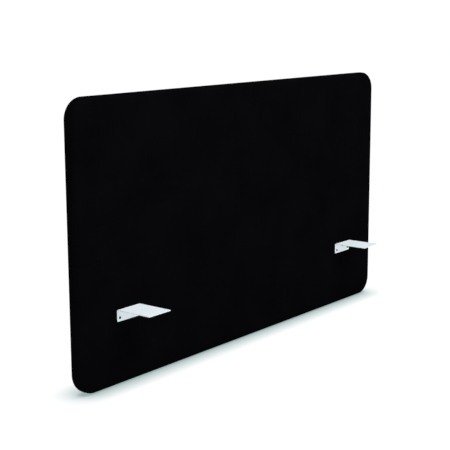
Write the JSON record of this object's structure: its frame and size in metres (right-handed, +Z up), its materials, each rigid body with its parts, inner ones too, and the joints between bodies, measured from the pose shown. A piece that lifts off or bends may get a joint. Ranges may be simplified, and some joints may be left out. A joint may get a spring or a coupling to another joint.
{
  "type": "desk privacy panel",
  "caption": "Upholstered desk screen with rounded corners, on angle brackets that screw to the underside of a desk top.",
  "frame": {"origin": "middle of the panel's length, on its front face, at the height of the brackets' plate tops, which is the underside of the desk top", "axes": "+X along the panel to the right seen from the front, +Y from the front face to the back, +Z up"},
  "size_m": [1.2008, 0.129, 0.6508],
  "materials": {
    "core": "fine raw fibreboard",
    "padding": "dark grey soft foam",
    "cover": "matt black woven polyester",
    "piping": "matt black corded trim",
    "bracket": "satin white powder coat",
    "screw": "black oxide",
    "insert": "plain turned brass"
  },
  "bodies": {
    "root": {"core_board": "core", "front_padding": "padding", "back_padding": "padding", "front_cover": "cover", "back_cover": "cover", "edge_piping": "piping", "left_bracket": "bracket", "right_bracket": "bracket", "left_screw_1": "screw", "left_insert_1": "insert", "left_screw_2": "screw", "left_insert_2": "insert", "left_screw_3": "screw", "left_insert_3": "insert", "right_screw_1": "screw", "right_insert_1": "insert", "right_screw_2": "screw", "right_insert_2": "insert", "right_screw_3": "screw", "right_insert_3": "insert"}
  },
  "joints": []
}
